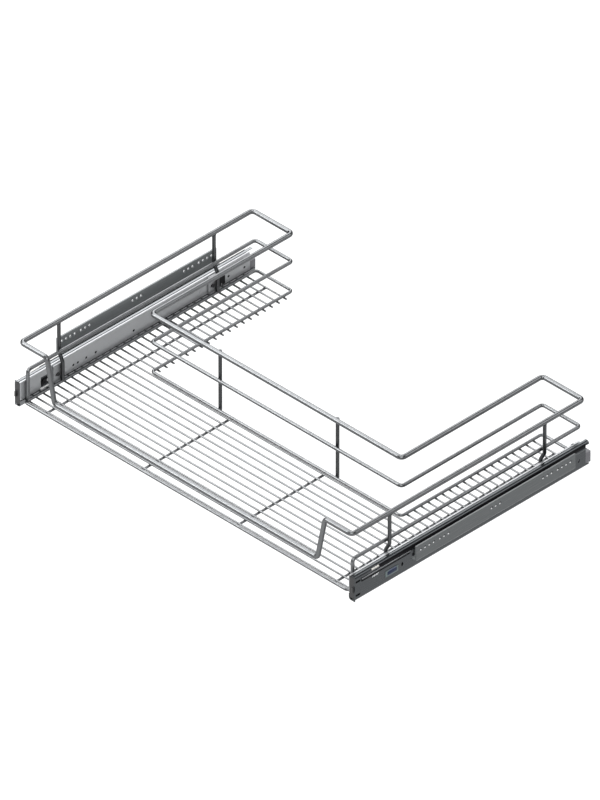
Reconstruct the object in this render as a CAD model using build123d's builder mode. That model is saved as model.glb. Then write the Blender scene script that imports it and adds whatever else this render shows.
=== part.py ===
"""Under-sink pull-out drawer: a U-shaped wire basket on two ball bearing slides.

Frame: X across the cabinet, Y from the front to the back, Z up. The origin is centred in
X and Y under the drawer, level with the underside of the slides. Sizes are millimetres.
"""
from build123d import *
import os

os.makedirs("parts", exist_ok=True)

# Overall sizes
cabinet_width = 768.0          # clear width between the cabinet sides
slide_length = 500.0
slide_height = 45.0
slide_thickness = 12.7
nose_reach = 3.0               # front buffer nose, ahead of the slide
tail_reach = 3.5               # soft-close housing, behind the slide
overall_length = nose_reach + slide_length + tail_reach
slide_front = nose_reach - overall_length / 2
slide_back = slide_front + slide_length
slide_level = slide_height / 2

# Clearances
weld_gap = 0.03                # between wires that are welded side by side
seat_gap = 0.05                # between a fastener and its hole, or two seated faces
slide_gap = 0.25               # between parts that slide past each other
ball_gap = 0.15                # between a ball and each of its raceways

# Slide profiles, from the cabinet inwards
bracket_reach = 21.3           # from the cabinet side to the slide
cabinet_sheet = 1.2
middle_sheet = 1.0
drawer_sheet = 1.0
cage_sheet = 0.5
carrier_sheet = 1.2
corner_radius = 5.0
inner_bend = 2.0
outer_cage_bend = 3.2
inner_cage_bend = 1.0
ball_size = 4.0
lip_height = 11.2              # top of the lower lip of the cabinet member
carrier_bottom = lip_height + 2.0
carrier_flange = 3.7
carrier_bend = 1.6
upper_flange_gap = 1.5         # slot between the two top flanges

cabinet_face = cabinet_width / 2
web_outer = cabinet_face - bracket_reach
web_inner = web_outer - cabinet_sheet
inner_face = web_outer - slide_thickness
flange_edge = inner_face + carrier_flange + upper_flange_gap
middle_outer = web_inner - 2 * slide_gap - cage_sheet
middle_inner = middle_outer - middle_sheet
carrier_back = inner_face + carrier_sheet
drawer_web = carrier_back + drawer_sheet
drawer_tip = middle_inner - 2 * slide_gap - cage_sheet
middle_tip = carrier_back + 2 * slide_gap
outer_ball_line = flange_edge + ball_size / 2
inner_ball_line = (drawer_web + drawer_tip) / 2
cabinet_race = slide_level - cabinet_sheet
race_space = ball_size + 2 * ball_gap
middle_half = cabinet_race - race_space
drawer_half = middle_half - middle_sheet - race_space

# Cabinet mounting bracket
bracket_sheet = 2.5
bracket_length = slide_length - 160.0
bracket_front = slide_front + 108.8
shelf_top = slide_level + 9.7
bracket_top = shelf_top + 25.3
leg_bottom = slide_level - 7.5
bracket_bend = 3.0
relief_length = 18.0
relief_width = 9.5
mount_hole = 4.8
mount_pitch = 9.0
mount_level = bracket_top - 9.2
mount_groups = [(-146.0, 4), (-110.0, 3), (0.0, 3), (110.0, 3), (146.0, 4)]
rivet_offsets = [-150.0, 0.0, 150.0]
rivet_hole = 4.2
bracket_rivet_head = 8.0
bracket_rivet_rise = 1.2

# Lengths along the slide
buffer_depth = 2.9
middle_front = slide_front + buffer_depth + 0.3
middle_length = slide_length - 102.0
drawer_front = slide_front + buffer_depth
drawer_length = slide_length - 101.5
carrier_length = slide_length - 11.0
cage_front = slide_front + 127.0
cage_length = 146.0
ball_count = 12
web_cutback = 7.5              # the cabinet web ends before its flanges at the back

# Features of the drawer side, measured from the slide's front or back
window_start = slide_front + 42.8
window_length = 18.0
window_bottom = slide_level - 7.5
window_height = 19.0
fixing_level = slide_level + 0.5
carrier_holes = [slide_front + place for place in (111.9, 121.4, 139.4, 159.4, 240.4)]
rear_carrier_holes = [slide_back - 56.6, slide_back - 22.6]
carrier_hole = 4.5
carrier_rivet_places = [slide_front + 24.0, slide_back - 116.0]
carrier_rivet_head = 5.4
carrier_rivet_rise = 0.3
lever_height = 7.0
lever_thickness = 1.9
lever_stand_off = 0.9          # how far the lever stands proud of the carrier rail
pivot_size = 3.0
pivot_head = 5.0
pivot_line = window_start + window_length - 4.5
pivot_level = window_bottom + window_height / 2
striker_start = slide_back - 78.0
striker_length = 13.6
striker_height = 19.7
striker_bottom = slide_level - 8.5
striker_pin = 4.0
striker_skin = 0.6             # plastic left over the end of the pin
striker_line = striker_start + striker_length / 2
hook_start = slide_back - 27.0
hook_length = 5.0
hook_rise = 1.0

# Soft-close unit
housing_front = slide_back - 90.0
housing_back = slide_back - 7.75
housing_height = 30.0
housing_slot = 7.0
slot_depth = 6.0
rear_wall = 3.0
tail_height = 19.5
tail_bottom = slide_level - 16.5
catch_front = striker_line + striker_pin / 2 + 0.2
catch_length = 18.0
damper_front = catch_front + catch_length + 0.1
damper_length = 26.8
damper_size = 5.6
rod_size = 2.0
rod_length = 8.0
spring_length = 60.0
spring_size = 4.0
spring_wall = 0.7
spring_groove = spring_size + 0.6
spring_level = slide_level - housing_slot / 2 - 2.0 - spring_groove / 2

# Details of the cabinet member
detent_start = slide_front + 64.5
detent_length = 27.0
detent_height = 11.0
detent_bottom = slide_level - 10.0
detent_rise = 0.8
web_hole_places = [slide_front + 100.85, slide_back - 22.45]
web_hole_level = slide_level - 3.0
web_hole_length = 6.5
web_hole_width = 4.0
bead_front = slide_front + 13.75
bead_length = slide_length - 22.5
bead_level = slide_level + 13.2
bead_width = 5.8
bead_rise = 1.2
gusset_width = 5.0             # the plates that square the corners at the front end
lower_gusset_top = 3.9
upper_gusset_bottom = slide_height - 1.9

# Basket wires
top_wire = 8.0
mid_wire = 6.0
frame_wire = 5.0
post_wire = 6.0
grid_wire = 3.0
support_wire = 4.0
frame_level = 10.75
mid_level = frame_level + 54.9
top_level = frame_level + 106.7
dip_level = frame_level + 28.2
top_half = inner_face + 2.3
mid_half = top_half - post_wire / 2 - mid_wire / 2 - weld_gap
frame_half = inner_face - 5.5
arm_width = 78.1
inner_half = frame_half - arm_width
basket_front = slide_front + 3.8
basket_back = slide_back - 3.2
recess_front = basket_front + 192.0
recess_post_line = recess_front + mid_wire / 2 + post_wire / 2 + weld_gap
recess_post_place = 125.0
dip_shoulder = top_half - 56.1
dip_foot = dip_shoulder - 15.9
leg_line = basket_front + 8.0
rail_radius = 6.0
frame_radius = 6.0
top_radius = 7.0
outer_posts = [basket_front + 80.2, basket_back - 82.3]
joggle_top = slide_height + 15.0
joggle_bottom = slide_height + 1.0
saddle_depth = 0.8             # from a frame wire's centre up to the post ends around it
grid_pitch = 15.0
grid_first = basket_front + 10.0
grid_end = inner_face - 0.6
stub = 3.0
support_far = frame_half - 36.1
support_near = 101.4
support_end = 4.0

grid_level = frame_level - frame_wire / 2 - grid_wire / 2 - weld_gap
support_level = grid_level - grid_wire / 2 - support_wire / 2 - weld_gap
grid_rows = int((basket_back - grid_first) / grid_pitch)
full_rows = int((recess_front - grid_first) / grid_pitch) + 1
last_row = grid_first + (grid_rows - 1) * grid_pitch

# Basket fixings
post_face = frame_half + post_wire / 2 + weld_gap
lug_width = 20.0
lug_bottom = lip_height + 1.6
lug_top = slide_height - 1.7
lug_corner = 2.0
lug_slot_length = 10.5
lug_slot_width = 4.2
lug_hole = 4.3
screw_level = slide_level + 2.4
screw_size = 4.0
screw_head = 6.4
screw_head_height = 1.6
screw_setback = 7.2            # from the post's centre line
recess_length = 3.4
recess_width = 0.8
recess_depth = 0.9


def rod_along(path_edges, diameter):
    """Sweeps one round wire along a chain of tangent lines and arcs."""
    with BuildPart() as rod:
        for edge in path_edges:
            with BuildSketch(Plane(origin=edge @ 0, z_dir=edge % 0)):
                Circle(diameter / 2)
            sweep(path=edge)
    return rod.part


def top_rail():
    """One closed loop round the U, with the low stretch at the front."""
    points = [
        (-top_half, basket_front, top_level),
        (-top_half, basket_back, top_level),
        (-inner_half, basket_back, top_level),
        (-inner_half, recess_front, top_level),
        (inner_half, recess_front, top_level),
        (inner_half, basket_back, top_level),
        (top_half, basket_back, top_level),
        (top_half, basket_front, top_level),
        (dip_shoulder, basket_front, top_level),
        (dip_foot, basket_front, dip_level),
        (-dip_foot, basket_front, dip_level),
        (-dip_shoulder, basket_front, top_level),
    ]
    with BuildLine() as path:
        FilletPolyline(*points, radius=top_radius, close=True)
    return rod_along(path.edges(), top_wire)


def middle_rail():
    """The rail at half height, with a front leg at each end."""
    leg_end = frame_level + saddle_depth
    points = [
        (-mid_half, leg_line, leg_end),
        (-mid_half, leg_line, mid_level),
        (-mid_half, basket_back, mid_level),
        (-inner_half, basket_back, mid_level),
        (-inner_half, recess_front, mid_level),
        (inner_half, recess_front, mid_level),
        (inner_half, basket_back, mid_level),
        (mid_half, basket_back, mid_level),
        (mid_half, leg_line, mid_level),
        (mid_half, leg_line, leg_end),
    ]
    with BuildLine() as path:
        FilletPolyline(*points, radius=rail_radius)
    rail = rod_along(path.edges(), mid_wire)
    return coped(rail, [frame_side_cutter(1), frame_side_cutter(-1)])


def bottom_frame():
    """The closed wire round the floor."""
    points = [
        (-frame_half, basket_front),
        (-frame_half, basket_back),
        (-inner_half, basket_back),
        (-inner_half, recess_front),
        (inner_half, recess_front),
        (inner_half, basket_back),
        (frame_half, basket_back),
        (frame_half, basket_front),
    ]
    with BuildLine(Plane.XY.offset(frame_level)) as path:
        FilletPolyline(*points, radius=frame_radius, close=True)
    return rod_along(path.edges(), frame_wire)


def straight_cutter(x, z, wire):
    """A bar along Y, one weld gap larger than the wire at that place."""
    with BuildPart() as bar:
        with BuildSketch(Plane.XZ.offset(-basket_front)):
            with Locations((x, z)):
                Circle(wire / 2 + weld_gap)
        extrude(amount=-(basket_back - basket_front))
    return bar.part


def frame_side_cutter(side):
    return straight_cutter(side * frame_half, frame_level, frame_wire)


def coped(wire, cutters):
    """Cuts the end of a wire to the shape of the wires that it meets."""
    with BuildPart() as cut:
        add(wire)
        for cutter in cutters:
            add(cutter, mode=Mode.SUBTRACT)
    return cut.part


def outer_post(y):
    """A post from the top rail, joggled inwards past the slide to the bottom frame."""
    points = [
        (top_half, y, top_level),
        (top_half, y, joggle_top),
        (frame_half, y, joggle_bottom),
        (frame_half, y, frame_level + saddle_depth),
    ]
    with BuildLine() as path:
        FilletPolyline(*points, radius=post_wire)
    post = rod_along(path.edges(), post_wire)
    return coped(post, [straight_cutter(top_half, top_level, top_wire), frame_side_cutter(1)])


def inner_post_wire():
    """A straight post behind the three rails at the front of the sink recess."""
    with BuildPart() as post:
        with BuildSketch(Plane.XY.offset(frame_level - frame_wire / 2)):
            with Locations((recess_post_place, recess_post_line)):
                Circle(post_wire / 2)
        extrude(amount=top_level - frame_level + frame_wire / 2)
        with BuildSketch(Plane.YZ.offset(recess_post_place - post_wire)):
            with Locations((recess_front, top_level)):
                Circle(top_wire / 2 + weld_gap)
        extrude(amount=2 * post_wire, mode=Mode.SUBTRACT)
    return post.part


def grid(x_start, x_end, first_row, rows):
    """A field of straight floor wires along X."""
    with BuildPart() as field:
        with BuildSketch(Plane.YZ.offset(x_start)):
            for row in range(first_row, first_row + rows):
                with Locations((grid_first + row * grid_pitch, grid_level)):
                    Circle(grid_wire / 2)
        extrude(amount=x_end - x_start)
    return field.part


def support(x, y_end):
    """A straight wire along Y under the floor wires."""
    start = grid_first - support_end
    with BuildPart() as bar:
        with BuildSketch(Plane.XZ.offset(-start)):
            with Locations((x, support_level)):
                Circle(support_wire / 2)
        extrude(amount=-(y_end - start))
    return bar.part


def box_between(x, y, z):
    """A block given by its limits along each axis."""
    with BuildPart() as block:
        with BuildSketch(Plane.XY.offset(z[0])):
            with Locations(((x[0] + x[1]) / 2, (y[0] + y[1]) / 2)):
                Rectangle(x[1] - x[0], y[1] - y[0])
        extrude(amount=z[1] - z[0])
    return block.part


def cross_hole(x, y, z, diameter):
    """A round cutter along X between two x values."""
    with BuildPart() as bore:
        with BuildSketch(Plane.YZ.offset(x[0])):
            with Locations((y, z)):
                Circle(diameter / 2)
        extrude(amount=x[1] - x[0])
    return bore.part


def slot_cutter(x, y, z, length, width, upright):
    """A cutter along X with rounded ends, its length along Z or along Y."""
    turn = 90 if upright else 0
    with BuildPart() as slot:
        with BuildSketch(Plane.YZ.offset(x[0])):
            with Locations((y, z)):
                SlotOverall(length, width, rotation=turn)
        extrude(amount=x[1] - x[0])
    return slot.part


def sheet_profile(points, radius, sheet, y_start, length):
    """Bends a sheet along an open line in the XZ plane; the line is its outer face."""
    with BuildPart() as strip:
        with BuildSketch(Plane.XZ.offset(-y_start)):
            with BuildLine() as line:
                FilletPolyline(*points, radius=radius)
                offset(amount=sheet, side=Side.LEFT)
            make_face()
        extrude(amount=-length)
    return strip.part


def bead_line():
    """The radius and the centre of the circle whose cap is the web's long bead."""
    radius = (bead_width ** 2 / 4 + bead_rise ** 2) / (2 * bead_rise)
    return radius, web_outer + bead_rise - radius


def web_bead():
    """The long pressed bead on the outer face of the web, with rounded ends."""
    radius, centre = bead_line()
    ends = (bead_front, bead_front + bead_length)
    with BuildPart() as rib:
        add(along_y(centre, bead_level, ends, 2 * radius))
        add(slot_cutter((web_outer - 0.2, web_outer + bead_rise + 1), sum(ends) / 2,
                        bead_level, bead_length, bead_width, False), mode=Mode.INTERSECT)
    return rib.part


def bead_groove():
    """The hollow behind the bead, one sheet thickness inside it."""
    radius, centre = bead_line()
    ends = (bead_front + bead_width / 2, bead_front + bead_length - bead_width / 2)
    return along_y(centre, bead_level, ends, 2 * (radius - cabinet_sheet))


def cabinet_member():
    """The outer profile: web, top flange and the lower raceway with its lip."""
    points = [
        (flange_edge, slide_height),
        (web_outer, slide_height),
        (web_outer, 0),
        (inner_face, 0),
        (inner_face, lip_height),
    ]
    with BuildPart() as member:
        add(sheet_profile(reversed_path(points), corner_radius, cabinet_sheet,
                          slide_front, slide_length))
        web = (web_inner - 1, web_outer + 1)
        cut_end = slide_back + 1
        add(box_between(web, (slide_back - web_cutback, cut_end),
                        (corner_radius, slide_height - corner_radius)), mode=Mode.SUBTRACT)
        pad = (detent_start, detent_start + detent_length)
        add(box_between(web, pad, (detent_bottom, detent_bottom + detent_height)),
            mode=Mode.SUBTRACT)
        for place in web_hole_places:
            add(slot_cutter(web, place, web_hole_level, web_hole_length, web_hole_width, True),
                mode=Mode.SUBTRACT)
        for slot_level in (slide_level - 12.1, slide_level + 12.4):
            slot = (slide_front + 2.0, slide_front + 11.5)
            add(box_between(web, slot, (slot_level - 1.8, slot_level + 1.8)),
                mode=Mode.SUBTRACT)
        add(box_between((web_outer - corner_radius, web_outer + 1),
                        (slide_front + 35.5, slide_front + 51.0),
                        (slide_height - 4.4, slide_height - 1.4)), mode=Mode.SUBTRACT)
        for shift in rivet_offsets:
            add(cross_hole(web, bracket_centre() + shift, slide_level, rivet_hole),
                mode=Mode.SUBTRACT)
        add(web_bead())
        add(bead_groove(), mode=Mode.SUBTRACT)
        corner = (web_outer - gusset_width, web_outer)
        plate = (slide_front, slide_front + cabinet_sheet)
        add(box_between(corner, plate, (0, lower_gusset_top)))
        add(box_between(corner, plate, (upper_gusset_bottom, slide_height)))
    return member.part


def reversed_path(points):
    return list(reversed(points))


def bracket_centre():
    return bracket_front + bracket_length / 2


def channel(outer, tip, half, sheet, y_start, length, radius):
    """A C profile with its web at one x value and both flanges reaching to another."""
    opens_inwards = tip < outer
    points = [
        (tip, slide_level - half),
        (outer, slide_level - half),
        (outer, slide_level + half),
        (tip, slide_level + half),
    ]
    if not opens_inwards:
        points = reversed_path(points)
    return sheet_profile(points, radius, sheet, y_start, length)


def middle_member():
    return channel(middle_outer, middle_tip, middle_half, middle_sheet,
                   middle_front, middle_length, inner_bend)


def drawer_member():
    """The inner profile, riveted to the carrier rail."""
    with BuildPart() as member:
        add(channel(carrier_back, drawer_tip, drawer_half, drawer_sheet,
                    drawer_front, drawer_length, inner_bend))
        sheet = (carrier_back - 1, drawer_web + 1)
        for place in carrier_holes:
            add(cross_hole(sheet, place, fixing_level, carrier_hole), mode=Mode.SUBTRACT)
        for place in carrier_rivet_places:
            add(cross_hole(sheet, place, fixing_level, rivet_hole), mode=Mode.SUBTRACT)
        add(cross_hole(sheet, outer_posts[0] - screw_setback, screw_level, lug_hole),
            mode=Mode.SUBTRACT)
        add(cross_hole(sheet, pivot_line, pivot_level, pivot_size), mode=Mode.SUBTRACT)
    return member.part


def carrier_rail():
    """The visible rail on the drawer side, an angle that holds the basket."""
    points = [
        (inner_face, carrier_bottom),
        (inner_face, slide_height),
        (inner_face + carrier_flange, slide_height),
    ]
    sheet = (inner_face - 1, carrier_back + 1)
    with BuildPart() as rail:
        add(sheet_profile(reversed_path(points), carrier_bend, carrier_sheet, slide_front,
                          carrier_length))
        opening = (window_start, window_start + window_length)
        add(box_between(sheet, opening, (window_bottom, window_bottom + window_height)),
            mode=Mode.SUBTRACT)
        for place in carrier_holes + rear_carrier_holes:
            add(cross_hole(sheet, place, fixing_level, carrier_hole), mode=Mode.SUBTRACT)
        for place in carrier_rivet_places:
            add(cross_hole(sheet, place, fixing_level, rivet_hole), mode=Mode.SUBTRACT)
        for post in outer_posts:
            add(cross_hole(sheet, post - screw_setback, screw_level, lug_hole),
                mode=Mode.SUBTRACT)
        block = (striker_start - seat_gap, striker_start + striker_length + seat_gap)
        add(box_between(sheet, block, (striker_bottom - seat_gap,
                                       striker_bottom + striker_height + seat_gap)),
            mode=Mode.SUBTRACT)
        add(box_between((inner_face, carrier_back), (hook_start, hook_start + hook_length),
                        (slide_height - carrier_sheet, slide_height + hook_rise)))
    return rail.part


def cage(web_face, tip, row, ball_line, bend):
    """A ball retainer: a thin channel with a hole for each ball in its flanges."""
    with BuildPart() as retainer:
        add(channel(web_face, tip, row + cage_sheet / 2, cage_sheet,
                    cage_front, cage_length, bend))
        for place in ball_places():
            with BuildSketch(Plane.XY):
                with Locations((ball_line, place)):
                    Circle(ball_size / 2 + seat_gap)
            extrude(amount=slide_height, mode=Mode.SUBTRACT)
    return retainer.part


def ball_places():
    pitch = cage_length / ball_count
    return [cage_front + pitch * (index + 0.5) for index in range(ball_count)]


def balls(row, ball_line):
    """The balls of one retainer, in an upper and a lower row."""
    with BuildPart() as group:
        for place in ball_places():
            with Locations((ball_line, place, slide_level - row),
                           (ball_line, place, slide_level + row)):
                Sphere(ball_size / 2)
    return group.part


def outer_row():
    return cabinet_race - race_space / 2


def inner_row():
    return middle_half - middle_sheet - race_space / 2


def mounting_bracket():
    """The stepped bracket that spaces the slide off the cabinet side."""
    points = [
        (cabinet_face, bracket_top),
        (cabinet_face, shelf_top - bracket_sheet),
        (web_outer, shelf_top - bracket_sheet),
    ]
    leg = (web_outer, web_outer + bracket_sheet)
    ends = (bracket_front, bracket_front + bracket_length)
    with BuildPart() as bracket:
        add(sheet_profile(reversed_path(points), bracket_bend, bracket_sheet, ends[0],
                          bracket_length))
        add(box_between(leg, ends, (leg_bottom, shelf_top)))
        relief = (web_outer - 1, web_outer + relief_width)
        below = (leg_bottom - 1, shelf_top + 1)
        add(box_between(relief, (ends[0] - 1, ends[0] + relief_length), below),
            mode=Mode.SUBTRACT)
        add(box_between(relief, (ends[1] - relief_length, ends[1] + 1), below),
            mode=Mode.SUBTRACT)
        for centre, count in mount_groups:
            for index in range(count):
                place = bracket_centre() + centre + (index - (count - 1) / 2) * mount_pitch
                add(cross_hole((cabinet_face - bracket_sheet - 1, cabinet_face + 1), place,
                               mount_level, mount_hole), mode=Mode.SUBTRACT)
        for shift in rivet_offsets:
            add(cross_hole((web_outer - 1, web_outer + bracket_sheet + 1),
                           bracket_centre() + shift, slide_level, rivet_hole),
                mode=Mode.SUBTRACT)
    return bracket.part


def rivets(places, start, grip, level, head, head_height, head_side):
    """Rivets along X with a flat head on one side and a flush tail."""
    shank = rivet_hole - 2 * seat_gap
    with BuildPart() as group:
        for place in places:
            add(cross_hole((start, start + grip), place, level, shank))
            if head_side > 0:
                seat = (start + grip, start + grip + head_height)
            else:
                seat = (start - head_height, start)
            add(cross_hole(seat, place, level, head))
    return group.part


def bracket_rivets():
    places = [bracket_centre() + shift for shift in rivet_offsets]
    return rivets(places, web_inner, cabinet_sheet + bracket_sheet, slide_level,
                  bracket_rivet_head, bracket_rivet_rise, 1)


def carrier_rivet_group():
    return rivets(carrier_rivet_places, inner_face, carrier_sheet + drawer_sheet, fixing_level,
                  carrier_rivet_head, carrier_rivet_rise, -1)


def front_buffer():
    """The plastic cap at the front end of the drawer member, with its nose."""
    inside = (carrier_back + slide_gap, web_inner - slide_gap)
    reach = cabinet_race - slide_gap
    with BuildPart() as cap:
        add(box_between(inside, (slide_front, slide_front + buffer_depth),
                        (slide_level - reach + 3.0, slide_level + reach - 1.0)))
        fillet(cap.edges().filter_by(Axis.Y), 2.0)
        add(box_between((web_inner - 3.5, web_inner - slide_gap),
                        (slide_front - nose_reach, slide_front + 1.0),
                        (slide_level - 5.5, slide_level + 3.5)))
        fillet(cap.faces().sort_by(Axis.Y)[0].edges(), 1.0)
    return cap.part


def release_lever():
    """The lever in the front window, which frees the drawer from its slide."""
    faces = (inner_face - lever_stand_off, inner_face - lever_stand_off + lever_thickness)
    front = window_start + 1.2
    back = window_start + window_length - 1.0
    low = pivot_level - lever_height / 2
    with BuildPart() as lever:
        add(box_between(faces, (front + 3.0, back), (low, low + lever_height)))
        add(box_between(faces, (front, front + 3.5), (low - 2.5, low + lever_height - 2.5)))
        fillet(lever.edges().filter_by(Axis.X), 0.9)
        add(cross_hole((faces[0] - 1, faces[1] + 1), pivot_line, pivot_level,
                       pivot_size + 2 * seat_gap), mode=Mode.SUBTRACT)
    return lever.part


def lever_pivot():
    """The pivot pin, set in the drawer member, with a flat head over the lever."""
    outside = inner_face - lever_stand_off - seat_gap
    with BuildPart() as pin:
        add(cross_hole((outside, drawer_web), pivot_line, pivot_level,
                       pivot_size - 2 * seat_gap))
        add(cross_hole((outside - 0.7, outside), pivot_line, pivot_level, pivot_head))
    return pin.part


def detent_pad():
    """The plastic pad in the window of the cabinet member."""
    start = detent_start + seat_gap
    with BuildPart() as pad:
        add(box_between((web_inner, web_outer + detent_rise),
                        (start, start + detent_length - 2 * seat_gap),
                        (detent_bottom + seat_gap, detent_bottom + detent_height - seat_gap)))
        fillet(pad.faces().sort_by(Axis.X)[-1].edges(), 0.5)
    return pad.part


def softclose_housing():
    """The soft-close housing at the back of the cabinet member, open towards the drawer."""
    faces = (drawer_web + slide_gap, web_inner - seat_gap)
    low = slide_level - housing_height / 2
    groove = (faces[0] - 1, faces[0] + slot_depth)
    with BuildPart() as housing:
        add(box_between(faces, (housing_front, housing_back), (low, low + housing_height)))
        tail = (tail_bottom, tail_bottom + tail_height)
        add(box_between(faces, (housing_back - 1, slide_back + tail_reach), tail))
        add(box_between((faces[0], web_outer - 0.3),
                        (slide_back - web_cutback + 0.3, slide_back + tail_reach), tail))
        add(box_between(groove, (housing_front - 1, housing_back - rear_wall),
                        (slide_level - housing_slot / 2, slide_level + housing_slot / 2)),
            mode=Mode.SUBTRACT)
        add(box_between(groove, (housing_front + 4.0, housing_back - rear_wall),
                        (spring_level - spring_groove / 2, spring_level + spring_groove / 2)),
            mode=Mode.SUBTRACT)
    return housing.part


def striker_block():
    """The plastic block in the carrier rail that holds the soft-close pin."""
    with BuildPart() as block:
        add(box_between((inner_face - 0.4, carrier_back),
                        (striker_start, striker_start + striker_length),
                        (striker_bottom, striker_bottom + striker_height)))
        add(cross_hole((inner_face + striker_skin, carrier_back + 1), striker_line, slide_level,
                       striker_pin), mode=Mode.SUBTRACT)
    return block.part


def striker_pin_steel():
    """The steel pin that pushes the catch as the drawer closes."""
    with BuildPart() as pin:
        add(cross_hole((inner_face + striker_skin + seat_gap, drawer_web + 4.0), striker_line,
                       slide_level, striker_pin - 2 * seat_gap))
    return pin.part


def softclose_catch():
    """The catch that the pin pushes, sliding in the groove of the housing."""
    groove = drawer_web + slide_gap
    half = housing_slot / 2 - 0.2
    with BuildPart() as catch:
        add(box_between((groove + 0.2, groove + slot_depth - 0.2),
                        (catch_front, catch_front + catch_length),
                        (slide_level - half, slide_level + half)))
        fillet(catch.edges().filter_by(Axis.X), 0.8)
    return catch.part


def along_y(x, z, y, diameter):
    """A round bar along Y between two y values."""
    with BuildPart() as bar:
        with BuildSketch(Plane.XZ.offset(-y[0])):
            with Locations((x, z)):
                Circle(diameter / 2)
        extrude(amount=-(y[1] - y[0]))
    return bar.part


def softclose_damper():
    """The damper: its cylinder and the rod that reaches the catch."""
    centre = drawer_web + slide_gap + slot_depth / 2
    shoulder = damper_front + rod_length
    with BuildPart() as damper:
        add(along_y(centre, slide_level, (damper_front, shoulder), rod_size))
        add(along_y(centre, slide_level, (shoulder, shoulder + damper_length), damper_size))
    return damper.part


def softclose_spring():
    """The closing spring beside the damper, as its outer tube."""
    centre = drawer_web + slide_gap + slot_depth / 2
    ends = (housing_front + 4.2, housing_front + 4.2 + spring_length)
    with BuildPart() as spring:
        add(along_y(centre, spring_level, ends, spring_size))
        add(along_y(centre, spring_level, ends, spring_size - 2 * spring_wall),
            mode=Mode.SUBTRACT)
    return spring.part


def middle_stop():
    """The rubber stop that the middle member meets when the drawer is shut."""
    start = middle_front + middle_length + 0.3
    with BuildPart() as stop:
        add(box_between((middle_inner, web_inner - seat_gap), (start, housing_front - 0.1),
                        (slide_level - 11.0, slide_level + 11.0)))
    return stop.part


def fixing_lugs():
    """The slotted lugs that are welded to the outer posts and screwed to the carrier rail."""
    faces = (post_face, inner_face - weld_gap)
    with BuildPart() as lugs:
        for post in outer_posts:
            back = post + post_wire / 2 + 0.3
            add(box_between(faces, (back - lug_width, back), (lug_bottom, lug_top)))
        fillet(lugs.edges().filter_by(Axis.X), lug_corner)
        for post in outer_posts:
            add(slot_cutter((faces[0] - 1, faces[1] + 1), post - screw_setback, screw_level,
                            lug_slot_length, lug_slot_width, False), mode=Mode.SUBTRACT)
    return lugs.part


def fixing_screws():
    """The pan head screws through the lugs, with a cross recess."""
    head_top = post_face - screw_head_height
    cross = (head_top - 1, head_top + recess_depth)
    with BuildPart() as group:
        for post in outer_posts:
            line = post - screw_setback
            add(cross_hole((head_top, post_face), line, screw_level, screw_head))
            add(cross_hole((post_face, drawer_web + 1.5), line, screw_level, screw_size))
            for width, height in ((recess_length, recess_width), (recess_width, recess_length)):
                add(box_between(cross, (line - width / 2, line + width / 2),
                                (screw_level - height / 2, screw_level + height / 2)),
                    mode=Mode.SUBTRACT)
    return group.part


def write(part, name):
    part.label = name
    export_step(part, "parts/" + name + ".step")


def write_pair(part, name):
    """Writes the right-hand piece and its mirror image."""
    with BuildPart() as left:
        mirror(part, about=Plane.YZ)
    write(part, name + "_right")
    write(left.part, name + "_left")


def write_set(part, name):
    """Writes the pieces of both sides in one file."""
    with BuildPart() as both:
        add(part)
        mirror(part, about=Plane.YZ)
    write(both.part, name)


write(top_rail(), "top_rail")
write(middle_rail(), "middle_rail")
write(bottom_frame(), "bottom_frame")
write(grid(-grid_end, grid_end, 0, full_rows), "floor_wires_front")
write_pair(grid(inner_half - frame_wire / 2 - stub, grid_end, full_rows, grid_rows - full_rows),
           "floor_wires")
write_pair(outer_post(outer_posts[0]), "front_post")
write_pair(outer_post(outer_posts[1]), "rear_post")
write_pair(inner_post_wire(), "recess_post")
write_pair(support(support_far, last_row + support_end), "side_support")
write_pair(support(support_near, recess_front), "centre_support")
write_pair(fixing_lugs(), "fixing_lugs")
write_set(fixing_screws(), "lug_screws")

write_pair(cabinet_member(), "cabinet_member")
write_pair(middle_member(), "middle_member")
write_pair(drawer_member(), "drawer_member")
write_pair(carrier_rail(), "carrier_rail")
write_pair(cage(web_inner - slide_gap, middle_tip + 1.0, outer_row(), outer_ball_line,
                outer_cage_bend), "outer_cage")
write_pair(cage(middle_inner - slide_gap, drawer_web + 1.0, inner_row(), inner_ball_line,
                inner_cage_bend), "inner_cage")
write_pair(balls(outer_row(), outer_ball_line), "outer_balls")
write_pair(balls(inner_row(), inner_ball_line), "inner_balls")
write_pair(mounting_bracket(), "mounting_bracket")
write_set(bracket_rivets(), "bracket_rivets")
write_set(carrier_rivet_group(), "carrier_rivets")
write_pair(front_buffer(), "front_buffer")
write_pair(release_lever(), "release_lever")
write_set(lever_pivot(), "lever_pivots")
write_pair(detent_pad(), "detent_pad")
write_pair(softclose_housing(), "softclose_housing")
write_pair(striker_block(), "striker_block")
write_set(striker_pin_steel(), "striker_pins")
write_pair(softclose_catch(), "softclose_catch")
write_pair(softclose_damper(), "softclose_damper")
write_pair(softclose_spring(), "softclose_spring")
write_pair(middle_stop(), "middle_stop")
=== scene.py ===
"""Dresses the under-sink wire drawer and sets up its studio picture.

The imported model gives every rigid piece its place. This script gives each of them a finish,
adds the weld beads, the springs and the small mouldings, and then the floor, the lights and
the camera. Every length is in metres and every angle in radians.
"""
from __future__ import annotations

import logging
import math
from dataclasses import dataclass, field
from enum import Enum
from typing import Iterator, Sequence

import bmesh
import bpy
from mathutils import Matrix, Vector


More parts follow.
